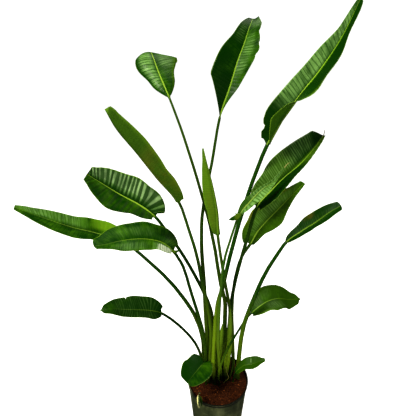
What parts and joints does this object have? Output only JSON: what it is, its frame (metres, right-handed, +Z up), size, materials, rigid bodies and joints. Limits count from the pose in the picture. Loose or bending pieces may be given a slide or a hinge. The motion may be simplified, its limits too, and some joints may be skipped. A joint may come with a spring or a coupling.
{
  "type": "potted plant",
  "caption": "Potted bird of paradise with a fan of large paddle leaves on long stalks, young rolled shoots and a tapered round nursery pot filled with soil.",
  "frame": {"origin": "middle of the pot's flat underside", "axes": "+Z up through the pot's middle, X along the fan of leaves, the pictured side towards -Y"},
  "size_m": [0.9967, 0.5741, 1.6332],
  "materials": {
    "blade_mid": "waxy mid green leaf with raised side veins",
    "blade_deep": "waxy dark green leaf with raised side veins",
    "blade_young": "smooth yellow-green young leaf",
    "blade_pale": "pale grey-green narrow young leaf",
    "shoot": "rolled olive-green shoot",
    "dry_scrap": "dry straw-coloured leaf scrap",
    "soil": "damp crumbly dark brown potting mix",
    "pot": "matt dark grey-green moulded plastic"
  },
  "bodies": {
    "root": {"leaf_upper_left": "blade_mid", "leaf_upper_middle": "blade_deep", "leaf_upper_right": "blade_mid", "leaf_left_folded": "blade_young", "leaf_left_ribbed": "blade_mid", "leaf_far_left": "blade_mid", "leaf_left_drooping": "blade_mid", "leaf_young_upright": "blade_young", "leaf_young_narrow": "blade_pale", "leaf_right_broad": "blade_deep", "leaf_right_pointed": "blade_mid", "leaf_far_right": "blade_mid", "leaf_low_left": "blade_deep", "leaf_low_right": "blade_deep", "leaf_rim_left": "blade_mid", "leaf_rim_right": "blade_mid", "leaf_withered": "dry_scrap", "spear_middle": "shoot", "spear_tall": "shoot", "spear_short": "shoot", "thread_dry": "dry_scrap", "soil": "soil", "pot": "pot"}
  },
  "joints": []
}
